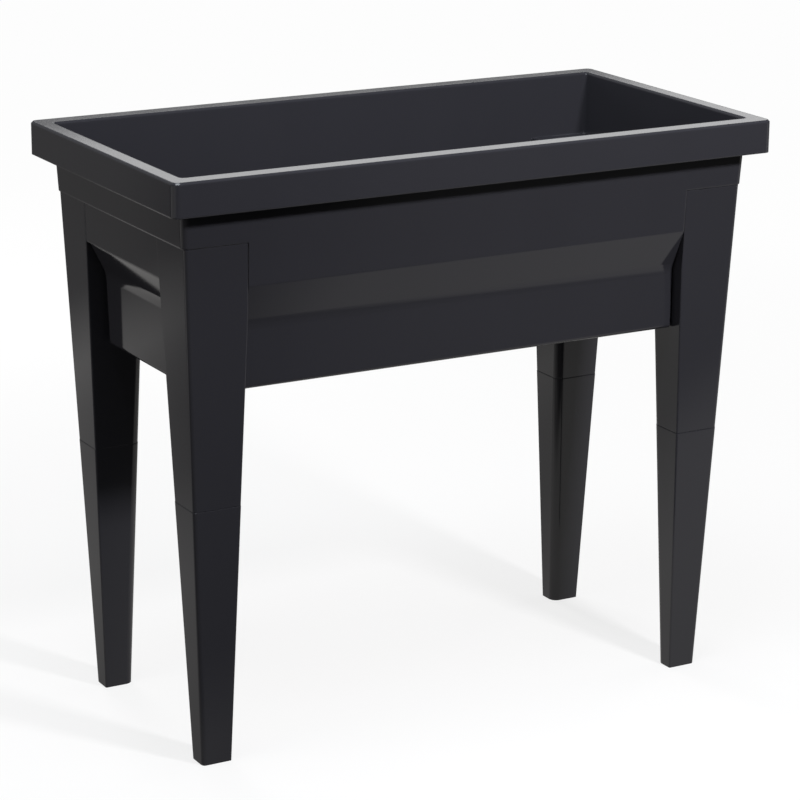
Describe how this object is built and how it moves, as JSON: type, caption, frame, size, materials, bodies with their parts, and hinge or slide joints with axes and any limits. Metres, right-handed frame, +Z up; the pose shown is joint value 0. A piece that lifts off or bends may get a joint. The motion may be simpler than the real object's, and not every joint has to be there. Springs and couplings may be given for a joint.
{
  "type": "planter table",
  "caption": "Raised planting trough in dark moulded plastic: deep tapered tub with a heavy overhanging rim, carried on tapered plug-together legs, with pull-out drain plugs.",
  "frame": {"origin": "on the floor under the middle of the table", "axes": "+X along the table's length to the right as seen from the front, +Y to the back, +Z up"},
  "size_m": [0.764, 0.39, 0.68],
  "materials": {
    "tub_plastic": "satin anthracite, fine moulded grain",
    "frame_plastic": "satin anthracite, fine moulded grain",
    "leg_plastic": "satin anthracite, fine moulded grain",
    "plug_rubber": "matte black soft stopper"
  },
  "bodies": {
    "table": {"planter_tub": "tub_plastic", "left_end_frame": "frame_plastic", "right_end_frame": "frame_plastic", "front_left_lower_leg": "leg_plastic", "front_right_lower_leg": "leg_plastic", "back_left_lower_leg": "leg_plastic", "back_right_lower_leg": "leg_plastic"},
    "left_plug": {"left_drain_plug": "plug_rubber"},
    "right_plug": {"right_drain_plug": "plug_rubber"}
  },
  "joints": [
    {"name": "left_plug_pull", "type": "slide", "parent": "table", "child": "left_plug", "axis": [0, 0, -1], "range_m": [0, 0.03]},
    {"name": "right_plug_pull", "type": "slide", "parent": "table", "child": "right_plug", "axis": [0, 0, -1], "range_m": [0, 0.03]}
  ]
}
